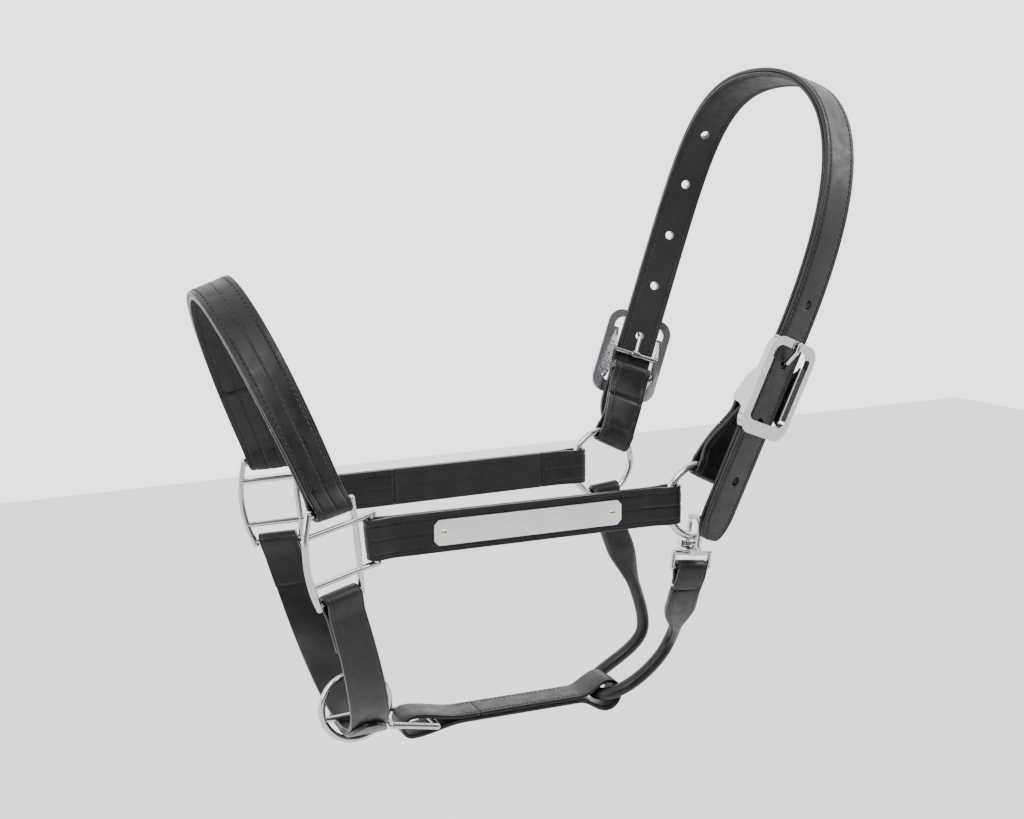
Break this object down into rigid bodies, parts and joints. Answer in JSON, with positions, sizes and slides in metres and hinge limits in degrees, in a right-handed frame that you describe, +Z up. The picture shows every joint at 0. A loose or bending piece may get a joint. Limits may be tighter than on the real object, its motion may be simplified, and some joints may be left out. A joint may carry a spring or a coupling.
{
  "type": "horse headcollar",
  "caption": "Leather headcollar with a buckled crown, cheeks, noseband, chin and rolled throat straps, square and ring fittings, a name plate and a throat snap.",
  "frame": {"origin": "underside of the crown strap at its middle, where it rests on the poll", "axes": "the horse faces -X, its near (left) side is -Y and +Z is up"},
  "size_m": [0.4245, 0.209, 0.447],
  "materials": {
    "strap_leather": "smooth bridle leather, black",
    "lining_leather": "matt black lining leather",
    "stainless": "polished stainless steel",
    "plate": "brushed",
    "rivet_brass": "polished"
  },
  "bodies": {
    "crown": {"crown_strap": "strap_leather", "crown_lining": "lining_leather", "near_buckle_frame": "stainless", "far_buckle_frame": "stainless", "near_chape": "strap_leather", "far_chape": "strap_leather"},
    "near_tongue": {"near_buckle_tongue": "stainless"},
    "far_tongue": {"far_buckle_tongue": "stainless"},
    "near_ring": {"near_jaw_ring": "stainless"},
    "far_ring": {"far_jaw_ring": "stainless"},
    "front": {"near_cheek_strap": "strap_leather", "far_cheek_strap": "strap_leather", "near_cheek_lining": "lining_leather", "far_cheek_lining": "lining_leather", "near_square": "stainless", "far_square": "stainless", "noseband_strap": "strap_leather", "noseband_lining": "lining_leather", "chin_strap": "strap_leather", "chin_strap_end": "strap_leather", "name_plate": "plate", "plate_rivets": "rivet_brass"},
    "chin_ring": {"chin_ring": "stainless"},
    "throat": {"throat_strap": "strap_leather", "snap_body": "stainless", "snap_pin": "stainless", "snap_spring": "stainless"},
    "gate": {"snap_gate": "stainless"},
    "standing": {"standing_strap": "strap_leather"}
  },
  "joints": [
    {"name": "near_tongue_lift", "type": "hinge", "parent": "crown", "child": "near_tongue", "pos_m": [-0.05942, -0.08228, -0.19885], "axis": [0.8948, 0.2908, -0.3387], "range_deg": [0, 4]},
    {"name": "far_tongue_lift", "type": "hinge", "parent": "crown", "child": "far_tongue", "pos_m": [-0.05942, 0.08228, -0.19885], "axis": [-0.8948, 0.2908, 0.3387], "range_deg": [0, 4]},
    {"name": "near_ring_turn", "type": "hinge", "parent": "crown", "child": "near_ring", "pos_m": [-0.098, -0.066, -0.276], "axis": [0, 1, 0], "continuous": true},
    {"name": "far_ring_turn", "type": "hinge", "parent": "crown", "child": "far_ring", "pos_m": [-0.098, 0.066, -0.276], "axis": [0, 1, 0], "continuous": true},
    {"name": "front_fold", "type": "hinge", "parent": "crown", "child": "front", "pos_m": [-0.098, 0, -0.276], "axis": [0, 1, 0], "range_deg": [-18, 20]},
    {"name": "chin_ring_swing", "type": "hinge", "parent": "front", "child": "chin_ring", "pos_m": [-0.319, 0, -0.408], "axis": [1, 0, 0], "range_deg": [-2.5, 2.5]},
    {"name": "throat_swing", "type": "hinge", "parent": "front", "child": "throat", "pos_m": [-0.098, 0, -0.276], "axis": [0, 1, 0], "range_deg": [-5, 0.8]},
    {"name": "standing_turn", "type": "hinge", "parent": "throat", "child": "standing", "pos_m": [-0.142, 0, -0.426], "axis": [0, 1, 0], "range_deg": [-1.2, 7]},
    {"name": "gate_press", "type": "hinge", "parent": "throat", "child": "gate", "pos_m": [-0.10225, -0.0596, -0.3062], "axis": [0.9903, 0, -0.1392], "range_deg": [0, 14], "stiffness_Nm_per_rad": 0.01}
  ],
  "couplings": [
    {"joint": "standing_turn", "follows": "throat_swing", "ratio": -1.35}
  ]
}
